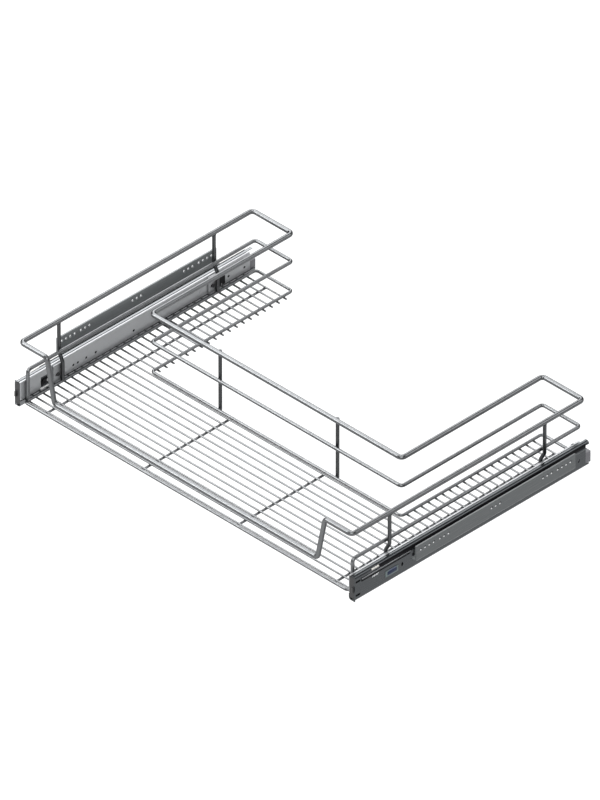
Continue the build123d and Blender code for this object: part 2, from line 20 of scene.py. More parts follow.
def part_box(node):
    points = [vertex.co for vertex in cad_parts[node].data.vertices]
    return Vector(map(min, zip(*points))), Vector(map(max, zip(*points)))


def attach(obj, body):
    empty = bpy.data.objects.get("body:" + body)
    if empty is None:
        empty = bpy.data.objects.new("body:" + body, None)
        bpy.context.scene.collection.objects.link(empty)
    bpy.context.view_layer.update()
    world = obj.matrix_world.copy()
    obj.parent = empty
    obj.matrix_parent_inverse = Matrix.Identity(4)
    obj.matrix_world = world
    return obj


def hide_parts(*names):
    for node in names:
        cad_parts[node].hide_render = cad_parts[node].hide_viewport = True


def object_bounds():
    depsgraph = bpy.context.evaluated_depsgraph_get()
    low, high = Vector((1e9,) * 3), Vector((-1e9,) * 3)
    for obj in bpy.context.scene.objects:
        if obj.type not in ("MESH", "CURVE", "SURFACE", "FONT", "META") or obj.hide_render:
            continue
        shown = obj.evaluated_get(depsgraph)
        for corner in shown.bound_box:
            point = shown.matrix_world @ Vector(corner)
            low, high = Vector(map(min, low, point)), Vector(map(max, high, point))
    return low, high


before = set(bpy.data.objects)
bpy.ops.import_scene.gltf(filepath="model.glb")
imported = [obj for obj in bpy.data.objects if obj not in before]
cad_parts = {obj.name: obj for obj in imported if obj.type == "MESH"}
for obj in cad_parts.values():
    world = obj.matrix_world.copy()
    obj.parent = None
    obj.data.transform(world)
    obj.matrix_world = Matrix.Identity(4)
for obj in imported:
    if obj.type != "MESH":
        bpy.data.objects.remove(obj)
CAD_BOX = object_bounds()
LOG = logging.getLogger("drawer")
MM = 0.001

Material = bpy.types.Material
Socket = bpy.types.NodeSocket
Point = bmesh.types.BMVert
Pair = tuple[float, float]
Colour = tuple[float, float, float]
Radii = tuple[float, float, float]
Weld = tuple[Vector, Radii]


class Side(Enum):
    """The two sides of the drawer, with the sign of their X."""

    LEFT = -1
    RIGHT = 1

    @property
    def word(self) -> str:
        """The side's word in the names of nodes and pieces."""
        return self.name.lower()


class Body(Enum):
    """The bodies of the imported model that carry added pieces."""

    CABINET = "cabinet_side"
    DRAWER = "drawer"
    LEVER_LEFT = "lever_left"
    LEVER_RIGHT = "lever_right"

    @classmethod
    def lever(cls, side: Side) -> Body:
        """The body of one side's release lever."""
        return cls(f"lever_{side.word}")


class Slot(Enum):
    """The names of the record's material slots, handed along with the added pieces but not given to
    them.
    """

    WIRE = "chrome_wire"
    ZINC = "zinc_steel"
    CARRIER = "carrier_steel"
    SPRING = "spring_steel"
    STOP = "stop_rubber"
    CATCH = "catch_plastic"
    LEVER = "lever_plastic"
    DETENT = "detent_plastic"


@dataclass(frozen=True)
class Span:
    """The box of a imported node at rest."""

    low: Vector
    high: Vector

    @classmethod
    def of(cls, node: str) -> Span:
        """Reads the box of the node of that name."""
        low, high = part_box(node)
        return cls(low, high)

    @classmethod
    def beside(cls, node: str, side: Side) -> Span:
        """Reads the box of one node of a left and right pair."""
        return cls.of(f"{node}_{side.word}")

    @property
    def centre(self) -> Vector:
        """The middle of the box."""
        return (self.low + self.high) / 2

    @property
    def size(self) -> Vector:
        """The box's extent along each axis."""
        return self.high - self.low

    def outer(self, side: Side) -> float:
        """The X of the face that looks away from the middle of the drawer."""
        return self.high.x if side is Side.RIGHT else self.low.x

    def inner(self, side: Side) -> float:
        """The X of the face that looks to the middle of the drawer."""
        return self.low.x if side is Side.RIGHT else self.high.x


class NodeBench:
    """Builds a material's node tree with short calls."""

    # The part of a noise pattern's range that holds most of its values.
    PATTERN_LOW, PATTERN_HIGH = 0.3, 0.7
    NOISE_ROUGHNESS = 0.55
    BEVEL_SAMPLES = 4
    # The colour sockets of a Mix node share their names with those of other types.
    MIX_FACTOR, MIX_DARK, MIX_LIGHT, MIX_RESULT = 0, 6, 7, 2

    def __init__(self, name: str) -> None:
        """Starts an empty surface material.

        Args:
            name: the material's name.
        """
        self.material = bpy.data.materials.new(name)
        self.material.use_nodes = True
        self.tree = self.material.node_tree
        self.tree.nodes.clear()
        output = self.tree.nodes.new("ShaderNodeOutputMaterial")
        self.surface = self.tree.nodes.new("ShaderNodeBsdfPrincipled")
        self.tree.links.new(self.surface.outputs["BSDF"], output.inputs["Surface"])

    def add(self, kind: str, **inputs: object) -> bpy.types.Node:
        """Adds a node and fills its sockets.

        Args:
            kind: the node's type name.
            inputs: its inputs, as for feed.

        Returns:
            The new node.
        """
        node = self.tree.nodes.new(kind)
        self.feed(node, **inputs)
        return node

    def feed(self, node: bpy.types.Node, **inputs: object) -> None:
        """Links sockets to a node's inputs, or sets the inputs' own values.

        Args:
            node: the node that has the inputs.
            inputs: socket names, with spaces as underscores, and a value or a socket.
        """
        for name, value in inputs.items():
            socket = node.inputs[name.replace("_", " ")]
            if isinstance(value, Socket):
                self.tree.links.new(value, socket)
            else:
                socket.default_value = value

    def coat(self, **inputs: object) -> Material:
        """Fills the surface's sockets, as feed does, and hands over the material."""
        self.feed(self.surface, **inputs)
        return self.material

    def noise(self, scale: float, detail: float, stretch: Sequence[float] = (1, 1, 1)) -> Socket:
        """A noise pattern fixed to the object.

        Args:
            scale: the pattern's own scale, in cycles per metre.
            detail: the number of octaves.
            stretch: the scale of the coordinates along X, Y and Z.

        Returns:
            The factor socket, from 0 to 1.
        """
        origin = self.add("ShaderNodeTexCoord")
        mapping = self.add("ShaderNodeMapping", Vector=origin.outputs["Object"], Scale=stretch)
        texture = self.add("ShaderNodeTexNoise", Vector=mapping.outputs["Vector"], Scale=scale,
                           Detail=detail, Roughness=self.NOISE_ROUGHNESS)
        return texture.outputs["Fac"]

    def spread(self, factor: Socket, low: float, high: float) -> Socket:
        """Maps a pattern onto a range of numbers.

        Args:
            factor: the pattern, from 0 to 1.
            low: the number at the pattern's low end.
            high: the number at its high end.

        Returns:
            The number's socket.
        """
        node = self.add("ShaderNodeMapRange", Value=factor, From_Min=self.PATTERN_LOW,
                        From_Max=self.PATTERN_HIGH, To_Min=low, To_Max=high)
        return node.outputs["Result"]

    def tint(self, factor: Socket, dark: Colour, light: Colour) -> Socket:
        """Mixes two colours by a pattern.

        Args:
            factor: the pattern, from 0 to 1.
            dark: the colour at 0.
            light: the colour at 1.

        Returns:
            The colour's socket.
        """
        node = self.tree.nodes.new("ShaderNodeMix")
        node.data_type = "RGBA"
        self.tree.links.new(factor, node.inputs[self.MIX_FACTOR])
        node.inputs[self.MIX_DARK].default_value = (*dark, 1.0)
        node.inputs[self.MIX_LIGHT].default_value = (*light, 1.0)
        return node.outputs[self.MIX_RESULT]

    def relief(self, height: Socket, depth: float, edge: float = 0.0) -> Socket:
        """Turns a pattern into a fine relief, with the sharp edges eased.

        Args:
            height: the pattern.
            depth: the relief's depth.
            edge: the radius of the eased edges, or 0 for none.

        Returns:
            The normal's socket.
        """
        bump = self.add("ShaderNodeBump", Height=height, Distance=depth, Strength=1.0)
        if edge > 0:
            bevel = self.add("ShaderNodeBevel", Radius=edge)
            bevel.samples = self.BEVEL_SAMPLES
            self.tree.links.new(bevel.outputs["Normal"], bump.inputs["Normal"])
        return bump.outputs["Normal"]


@dataclass(frozen=True)
class PlatedWire:
    """Bright plated steel wire: a fine irregular surface and a faint haze."""

    name: str
    dark: Colour = (0.14, 0.144, 0.148)
    light: Colour = (0.17, 0.174, 0.179)
    smooth: float = 0.26
    rough: float = 0.36
    rim: Colour = (0.5, 0.5, 0.51)
    haze_scale: float = 55
    mark_scale: float = 420
    depth: float = 0.002 * MM

    def make(self) -> Material:
        """Builds the material.

        Returns:
            The material.
        """
        bench = NodeBench(self.name)
        haze = bench.noise(self.haze_scale, 3)
        marks = bench.noise(self.mark_scale, 2)
        return bench.coat(Metallic=1.0, Specular_Tint=(*self.rim, 1.0),
                          Base_Color=bench.tint(haze, self.dark, self.light),
                          Roughness=bench.spread(marks, self.smooth, self.rough),
                          Normal=bench.relief(marks, self.depth))


@dataclass(frozen=True)
class RolledSheet:
    """Zinc plated steel sheet: rolling streaks along the slide and a cloudy bloom."""

    name: str
    dark: Colour
    light: Colour
    smooth: float = 0.34
    rough: float = 0.46
    edge: float = 0.35 * MM
    metal: float = 0.55
    gloss: float = 0.5
    bloom_scale: float = 38
    bloom_stretch: tuple[float, ...] = (1, 0.35, 1)
    streak_scale: float = 900
    streak_stretch: tuple[float, ...] = (1, 0.02, 1)
    depth: float = 0.003 * MM

    def make(self) -> Material:
        """Builds the material.

        Returns:
            The material.
        """
        bench = NodeBench(self.name)
        bloom = bench.noise(self.bloom_scale, 4, self.bloom_stretch)
        streaks = bench.noise(self.streak_scale, 3, self.streak_stretch)
        return bench.coat(Metallic=self.metal, Specular_IOR_Level=self.gloss,
                          Base_Color=bench.tint(bloom, self.dark, self.light),
                          Roughness=bench.spread(streaks, self.smooth, self.rough),
                          Normal=bench.relief(streaks, self.depth, self.edge))


@dataclass(frozen=True)
class Moulding:
    """Moulded plastic or rubber: a fine spark-eroded grain and slightly shiny high spots."""

    name: str
    dark: Colour
    light: Colour
    rough: float = 0.46
    grain: float = 1100
    gloss: float = 0.5
    depth: float = 0.03 * MM
    edge: float = 0.3 * MM
    cloud_scale: float = 60
    smoother: float = 0.07
    rougher: float = 0.09

    def make(self) -> Material:
        """Builds the material.

        Returns:
            The material.
        """
        bench = NodeBench(self.name)
        grain = bench.noise(self.grain, 3)
        cloud = bench.noise(self.cloud_scale, 2)
        low, high = self.rough - self.smoother, self.rough + self.rougher
        return bench.coat(Specular_IOR_Level=self.gloss,
                          Base_Color=bench.tint(cloud, self.dark, self.light),
                          Roughness=bench.spread(grain, low, high),
                          Normal=bench.relief(grain, self.depth, self.edge))


@dataclass(frozen=True)
class TurnedSteel:
    """Turned or ground steel: balls, pins, rivets, screws and the damper."""

    name: str
    dark: Colour = (0.34, 0.34, 0.35)
    light: Colour = (0.48, 0.48, 0.49)
    rough: float = 0.24
    edge: float = 0.2 * MM
    wear_scale: float = 420
    rougher: float = 0.12
    depth: float = 0.004 * MM

    def make(self) -> Material:
        """Builds the material.

        Returns:
            The material.
        """
        bench = NodeBench(self.name)
        wear = bench.noise(self.wear_scale, 3)
        return bench.coat(Metallic=1.0, Base_Color=bench.tint(wear, self.dark, self.light),
                          Roughness=bench.spread(wear, self.rough, self.rough + self.rougher),
                          Normal=bench.relief(wear, self.depth, self.edge))


@dataclass(frozen=True)
class StudioFloor:
    """A plain pale floor with a barely visible tooth, which glows evenly."""

    name: str = "studio_floor"
    colour: Colour = (0.22, 0.22, 0.22)
    glow: float = 0.85
    rough: float = 0.9
    tooth_scale: float = 160
    tooth_lift: float = 1.02

    def make(self) -> Material:
        """Builds the material.

        Returns:
            The material.
        """
        bench = NodeBench(self.name)
        tooth = bench.noise(self.tooth_scale, 2)
        lighter = tuple(channel * self.tooth_lift for channel in self.colour)
        return bench.coat(Base_Color=bench.tint(tooth, self.colour, lighter),
                          Roughness=self.rough, Emission_Color=(1.0, 1.0, 1.0, 1.0),
                          Emission_Strength=self.glow)


class Finish(Enum):
    """Every finish on the drawer and in the studio, by the part that wears it."""

    WIRE = PlatedWire("plated_wire")
    # The posts wear a darker copy of the wire's plating: painted shade, as upright wires catch less
    # light.
    POST = PlatedWire("plated_post", (0.072, 0.074, 0.076), (0.09, 0.092, 0.095))
    WELD = PlatedWire("plated_weld", (0.07, 0.072, 0.076), (0.10, 0.104, 0.108), 0.4, 0.55)
    PROFILE = RolledSheet("zinc_profile", (0.052, 0.056, 0.06), (0.072, 0.077, 0.081), 0.2, 0.3,
                          metal=0.9)
    # A lighter copy of the profile's finish for the left cabinet member: painted light.
    LIT_PROFILE = RolledSheet("painted_lit_zinc_profile", (0.13, 0.136, 0.142), (0.16, 0.167, 0.174),
                               0.2, 0.3, metal=0.9)
    CARRIER = RolledSheet("zinc_carrier", (0.32, 0.328, 0.338), (0.37, 0.378, 0.389))
    BRACKET = RolledSheet("zinc_bracket", (0.1, 0.107, 0.11), (0.12, 0.127, 0.13), 0.2, 0.3,
                          metal=0.0, gloss=0.14)
    # A lighter copy of the bracket's finish for the left bracket: painted light.
    LIT_BRACKET = RolledSheet("painted_lit_zinc_bracket", (0.19, 0.2, 0.205), (0.22, 0.232, 0.238),
                               0.2, 0.3, metal=0.0, gloss=0.14)
    LUG = RolledSheet("plated_lug", (0.24, 0.246, 0.254), (0.29, 0.297, 0.306))
    RIVET = RolledSheet("flush_rivet", (0.3, 0.305, 0.315), (0.36, 0.366, 0.376), 0.3, 0.4)
    CAGE = RolledSheet("rolled_cage", (0.26, 0.26, 0.25), (0.36, 0.36, 0.35), 0.26, 0.4, 0.0)
    BALL = TurnedSteel("ground_ball", (0.5, 0.5, 0.51), (0.6, 0.6, 0.61), 0.07, 0.0)
    FASTENER = TurnedSteel("zinc_fastener")
    SCREW = TurnedSteel("dark_screw", (0.05, 0.05, 0.052), (0.08, 0.08, 0.083), 0.34)
    # A bright finish for painted glints: the dots at the bracket holes and the pressed bars in the
    # webs.
    BURR = TurnedSteel("bright_burr", (0.7, 0.7, 0.71), (0.8, 0.8, 0.81), 0.3)
    DAMPER = TurnedSteel("turned_damper", (0.3, 0.3, 0.31), (0.42, 0.42, 0.43), 0.3)
    SPRING = TurnedSteel("oiled_spring", (0.16, 0.15, 0.14), (0.26, 0.25, 0.24), 0.3, 0.0)
    HOUSING = Moulding("grey_housing", (0.1, 0.1, 0.112), (0.13, 0.13, 0.142), 0.5)
    CATCH = Moulding("natural_catch", (0.55, 0.54, 0.5), (0.66, 0.65, 0.61), 0.44)
    STRIKER = Moulding("black_striker", (0.003, 0.003, 0.004), (0.006, 0.006, 0.007), gloss=0.1)
    STOP = Moulding("rubber_stop", (0.014, 0.014, 0.014), (0.024, 0.024, 0.024), 0.72, 700)
    # Black for painted shade: the corner strips, the discs in the carrier holes and the shade line
    # on the webs.
    STRIP = Moulding("black_strip", (0.004, 0.004, 0.005), (0.008, 0.008, 0.009), 0.6, gloss=0.1)
    BUFFER = Moulding("black_buffer", (0.012, 0.012, 0.013), (0.02, 0.02, 0.022))
    LEVER = Moulding("black_lever", (0.004, 0.004, 0.005), (0.008, 0.008, 0.009), gloss=0.15)
    # White for the ledge under each lever window: a painted reflection.
    SILL = Moulding("white_sill", (0.78, 0.78, 0.78), (0.86, 0.86, 0.86), 0.4)
    DETENT = Moulding("grey_green_detent", (0.08, 0.11, 0.115), (0.11, 0.145, 0.15), 0.42)
    INLAY = Moulding("navy_inlay", (0.006, 0.013, 0.04), (0.01, 0.02, 0.06), gloss=0.2)
    TAB = Moulding("blue_tab", (0.08, 0.09, 0.17), (0.1, 0.11, 0.2), 0.42)
    FLOOR = StudioFloor()


@dataclass
class FinishRack:
    """Makes each finish once and puts it on nodes and pieces."""

    made: dict[Finish, Material] = field(default_factory=dict)

    def material(self, finish: Finish) -> Material:
        """The finish's material, made at its first use.

        Args:
            finish: the finish.

        Returns:
            Its material.
        """
        if finish not in self.made:
            self.made[finish] = finish.value.make()
        return self.made[finish]

    def dress(self, **finishes: Finish) -> None:
        """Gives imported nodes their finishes.

        Args:
            finishes: the finish of each node, by the node's name.
        """
        for name, finish in finishes.items():
            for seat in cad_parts[name].material_slots:
                seat.material = self.material(finish)
            LOG.info("%s wears %s", name, finish.value.name)

    def pairs(self, **finishes: Finish) -> None:
        """Gives pairs of nodes, each named without its side, their finishes."""
        for side in Side:
            self.dress(**{f"{name}_{side.word}": finish for name, finish in finishes.items()})


def place(name: str, data: bpy.types.ID) -> bpy.types.Object:
    """Puts a mesh, light or camera in the scene.

    Args:
        name: the object's name.
        data: what it shows.

    Returns:
        The new object.
    """
    made = bpy.data.objects.new(name, data)
    bpy.context.scene.collection.objects.link(made)
    return made


@dataclass
class MeshShop:
    """Collects mesh pieces and hands them over as one object."""

    name: str
    mesh: bmesh.types.BMesh = field(default_factory=bmesh.new)
    # A bead's points round it and levels down it, and the shares by which its outline
    # swells three and five times round it.
    bead_steps: tuple[int, int] = (10, 6)
    swells: Pair = (0.09, 0.05)
    # A rim's section, in shares of its width and its rise.
    rim_section: tuple[Pair, ...] = ((0.0, 0.0), (0.0, 0.7), (0.3, 1.0), (0.7, 0.8), (1.0, 0.0))
    rim_sides: int = 24
    # Two unit vectors are taken as parallel when their cross product is shorter.
    parallel: float = 1e-4
    sharp: float = math.radians(40)

    def bead(self, centre: Vector, radii: Radii, seed: int = 0) -> None:
        """Adds a bead of weld metal, an uneven low dome on both sides.

        Args:
            centre: the bead's middle.
            radii: its half size along X, Y and Z.
            seed: the bead's number, which varies its outline.
        """
        sides, levels = self.bead_steps
        broad, fine = self.swells
        up, ahead, aside = Vector((0, 0, 1)), Vector((0, 1, 0)), Vector((-1, 0, 0))
        tilts = [math.pi * level / levels for level in range(1, levels)]
        rings = [self.circle(math.cos(tilt) * up, ahead, aside, math.sin(tilt), sides)
                 for tilt in tilts]
        top, bottom = self.mesh.verts.new((0, 0, 1)), self.mesh.verts.new((0, 0, -1))
        for vert in (top, bottom, *(vert for ring in rings for vert in ring)):
            turn = math.atan2(vert.co.y, vert.co.x)
            swell = 1.0 + broad * math.sin(3 * turn + seed) + fine * math.sin(5 * turn + 2 * seed)
            vert.co = centre + Vector(value * radius * swell
                                      for value, radius in zip(vert.co, radii))
        self.wrap(rings, capped=False)
        for step in range(sides):
            after = (step + 1) % sides
            self.mesh.faces.new((top, rings[0][after], rings[0][step]))
            self.mesh.faces.new((bottom, rings[-1][step], rings[-1][after]))

    def tube(self, path: Sequence[Vector], radius: float, sides: int) -> None:
        """Adds a round wire along a path of points, closed at both ends.

        Args:
            path: the points of its centre line.
            radius: the wire's radius.
            sides: the number of sides of its section.
        """
        rings: list[list[Point]] = []
        up = Vector((0.0, 0.0, 1.0))
        for index, point in enumerate(path):
            ahead = path[min(index + 1, len(path) - 1)] - path[max(index - 1, 0)]
            ahead.normalize()
            across = ahead.cross(up)
            if across.length < self.parallel:
                across = ahead.cross(Vector((1.0, 0.0, 0.0)))
            across.normalize()
            other = across.cross(ahead)
            rings.append(self.circle(point, across, other, radius, sides))
            up = other
        self.wrap(rings)

    def strip(self, section: Sequence[Pair], start: float, end: float) -> None:
        """Adds a strip of one section along Y, closed at both ends.

        Args:
            section: the X and Z of the section's corners, in order round it.
            start: the Y of its front end.
            end: the Y of its back end.
        """
        self.wrap([[self.mesh.verts.new((x, y, z)) for x, z in section] for y in (start, end)])

    def wrap(self, rings: Sequence[Sequence[Point]], capped: bool = True) -> None:
        """Joins rings of points by rows of faces.

        Args:
            rings: the rings in order, with the same number of points in each.
            capped: whether a face closes each end.
        """
        sides = len(rings[0])
        for first, second in zip(rings, rings[1:]):
            for step in range(sides):
                after = (step + 1) % sides
                self.mesh.faces.new((first[step], first[after], second[after], second[step]))
        if capped:
            self.mesh.faces.new(list(reversed(rings[0])))
            self.mesh.faces.new(rings[-1])

    def circle(self, centre: Vector, across: Vector, other: Vector, radius: float,
               sides: int) -> list[Point]:
        """Adds the points of a circle.

        Args:
            centre: its middle.
            across: a unit vector in its plane.
            other: the unit vector in its plane that stands square to the first.
            radius: its radius.
            sides: the number of points.

        Returns:
            The points in order round it.
        """
        turns = (2 * math.pi * step / sides for step in range(sides))
        return [self.mesh.verts.new(
            centre + radius * (math.cos(turn) * across + math.sin(turn) * other))
            for turn in turns]

    def ring(self, centre: Vector, axis: Vector, hole: float, rim: float, rise: float) -> None:
        """Adds a raised rim round a hole, as a punch leaves it.

        Args:
            centre: the middle of the hole on the sheet's face.
            axis: the unit vector that the rim rises along.
            hole: the hole's radius.
            rim: the rim's width.
            rise: the rim's height.
        """
        across = axis.orthogonal().normalized()
        other = axis.cross(across)
        self.wrap([self.circle(centre + height * rise * axis, across, other,
                               hole + width * rim, self.rim_sides)
                   for width, height in self.rim_section], capped=False)

    def block(self, corner: Vector, opposite: Vector, ease: float) -> None:
        """Adds a block with eased edges.

        Args:
            corner: one of its corners.
            opposite: the corner that lies across the block from it.
            ease: the width of the eased edges.
        """
        low = Vector(map(min, corner, opposite))
        high = Vector(map(max, corner, opposite))
        seat = Matrix.Translation((low + high) / 2) @ Matrix.Diagonal((*(high - low), 1.0))
        made = bmesh.ops.create_cube(self.mesh, size=1.0, matrix=seat)
        edges = dict.fromkeys(edge for vert in made["verts"] for edge in vert.link_edges)
        bmesh.ops.bevel(self.mesh, geom=list(edges), offset=ease, segments=2, profile=0.5,
                        affect="EDGES")

    def finish(self, rack: FinishRack, finish: Finish, body: Body, slot: Slot,
               replaced: Sequence[str] = ()) -> None:
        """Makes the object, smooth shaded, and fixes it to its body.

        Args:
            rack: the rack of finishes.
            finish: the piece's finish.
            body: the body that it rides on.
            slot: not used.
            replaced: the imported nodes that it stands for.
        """
        bmesh.ops.recalc_face_normals(self.mesh, faces=self.mesh.faces)
        data = bpy.data.meshes.new(self.name)
        self.mesh.to_mesh(data)
        self.mesh.free()
        data.materials.append(rack.material(finish))
        for polygon in data.polygons:
            polygon.use_smooth = True
        data.set_sharp_from_angle(angle=self.sharp)
        piece = place(self.name, data)
        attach(piece, body.value)
        if replaced:
            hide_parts(*replaced)
        LOG.info("%s rides on %s with %d faces", self.name, body.value, len(data.polygons))


@dataclass
class WireBasket:
    """The welded basket: rails, posts, floor wires, supports and lugs."""

    rack: FinishRack
    pitch: float = 15 * MM
    outer_posts: tuple[str, ...] = ("front_post", "rear_post")
    # The fields of floor wires that each pair of supports carries.
    supports: tuple[tuple[str, tuple[str, ...]], ...] = (
        ("side_support", ("floor_wires_front", "floor_wires_right")),
        ("centre_support", ("floor_wires_front",)))
    top_radius: float = 4 * MM
    middle_radius: float = 3 * MM
    floor_radius: float = 2.5 * MM
    # The length at the frame's bends that has no weld, and the wires' length past the frame.
    corner: float = 12 * MM
    overhang: float = 3 * MM
    # The beads and seams: half sizes, and how deep a bead's middle lies in the wire.
    frame_bead: Radii = (1.9 * MM, 1.9 * MM, 0.75 * MM)
    support_bead: Radii = (1.6 * MM, 1.6 * MM, 0.6 * MM)
    top_bead: Radii = (3.6 * MM, 3.6 * MM, 0.9 * MM)
    foot_bead: Radii = (3.4 * MM, 3.4 * MM, 0.9 * MM)
    rail_bead: Radii = (0.9 * MM, 2.0 * MM, 2.2 * MM)
    bead_sink: float = 0.1 * MM
    recess_seam: Radii = (2.0 * MM, 0.9 * MM, 2.4 * MM)
    recess_top_shift: float = 0.8 * MM
    recess_top_drop: float = 2.6 * MM
    lug_seam: Radii = (1.0 * MM, 0.9 * MM, 3.4 * MM)
    lug_seam_rise: float = 0.2 * MM
    lug_seam_shift: float = 2.4 * MM
    lug_seam_foot: float = 5 * MM
    lug_seam_head: float = 6 * MM

    def dress(self) -> None:
        """Gives the wires their plating."""
        self.rack.dress(top_rail=Finish.WIRE, middle_rail=Finish.WIRE, bottom_frame=Finish.WIRE,
                        floor_wires_front=Finish.WIRE)
        # The posts take the darker copy of the plating, which is painted shade.
        self.rack.pairs(floor_wires=Finish.WIRE, side_support=Finish.WIRE,
                        centre_support=Finish.WIRE, front_post=Finish.POST,
                        rear_post=Finish.POST, recess_post=Finish.POST, fixing_lugs=Finish.LUG)

    def rows(self, node: str) -> list[float]:
        """The Y of each floor wire in a field.

        Args:
            node: the field's node.

        Returns:
            The Y values from front to back.
        """
        span = Span.of(node)
        radius = span.size.z / 2
        count = round((span.size.y - 2 * radius) / self.pitch) + 1
        return [span.low.y + radius + index * self.pitch for index in range(count)]

    def floor_crossings(self) -> Iterator[Weld]:
        """The welds of the floor wires.

        Yields:
            The place and the half sizes of each bead.
        """
        rim = Span.of("bottom_frame")
        radius = rim.size.z / 2
        wires = Span.of("floor_wires_front")
        outer = rim.high.x - radius
        inner = Span.of("floor_wires_right").low.x + self.overhang + radius
        welded = [((outer,), y) for y in self.rows("floor_wires_front")
                  if y >= rim.low.y + self.corner]
        welded += [((outer, inner), y) for y in self.rows("floor_wires_right")
                   if y < rim.high.y - self.corner]
        for edges, y in welded:
            for side in Side:
                for x in edges:
                    yield Vector((side.value * x, y, wires.high.z)), self.frame_bead
        for name, fields in self.supports:
            for side in Side:
                x = Span.beside(name, side).centre.x
                for node in fields:
                    for y in self.rows(node):
                        yield Vector((x, y, wires.low.z)), self.support_bead

    def rail_joints(self) -> Iterator[Weld]:
        """The welds between posts and rails.

        Yields:
            The place and the half sizes of each bead.
        """
        top = Span.of("top_rail")
        middle = Span.of("middle_rail")
        floor = Span.of("bottom_frame")
        top_level = top.high.z - self.top_radius
        middle_level = middle.high.z - self.middle_radius
        floor_level = floor.centre.z
        foot_level = floor_level + self.floor_radius - self.bead_sink
        for side in Side:
            recess = Span.beside("recess_post", side)
            x = recess.centre.x
            for level in (middle_level, floor_level):
                yield Vector((x, recess.low.y + self.bead_sink, level)), self.recess_seam
            yield (Vector((x, recess.low.y + self.recess_top_shift,
                           top_level - self.recess_top_drop)), self.recess_seam)
            for name in self.outer_posts:
                y = Span.beside(name, side).centre.y
                yield (Vector((side.value * (top.high.x - self.top_radius), y,
                               top_level - self.top_radius + self.bead_sink)), self.top_bead)
                yield (Vector((side.value * (floor.high.x - self.floor_radius), y,
                               foot_level)), self.foot_bead)
                yield Vector((side.value * middle.high.x, y, middle_level)), self.rail_bead
            yield (Vector((side.value * (middle.high.x - self.middle_radius),
                           middle.low.y + self.middle_radius, foot_level)), self.foot_bead)

    def lug_seams(self) -> Iterator[Weld]:
        """The two short seams between each outer post and its lug.

        Yields:
            The place and the half sizes of each seam.
        """
        for side in Side:
            lugs = Span.beside("fixing_lugs", side)
            x = lugs.inner(side) - side.value * self.lug_seam_rise
            for name in self.outer_posts:
                y = Span.beside(name, side).centre.y
                for shift in (-self.lug_seam_shift, self.lug_seam_shift):
                    for level in (lugs.low.z + self.lug_seam_foot,
                                  lugs.high.z - self.lug_seam_head):
                        yield Vector((x, y + shift, level)), self.lug_seam

    def weld(self) -> None:
        """Adds all the weld beads."""
        groups = {"floor_weld_beads": self.floor_crossings(), "rail_weld_seams": self.rail_joints(),
                  "lug_weld_seams": self.lug_seams()}
        for name, welds in groups.items():
            shop = MeshShop(name)
            for index, (centre, radii) in enumerate(welds):
                shop.bead(centre, radii, index)
            shop.finish(self.rack, Finish.WELD, Body.DRAWER, Slot.WIRE)


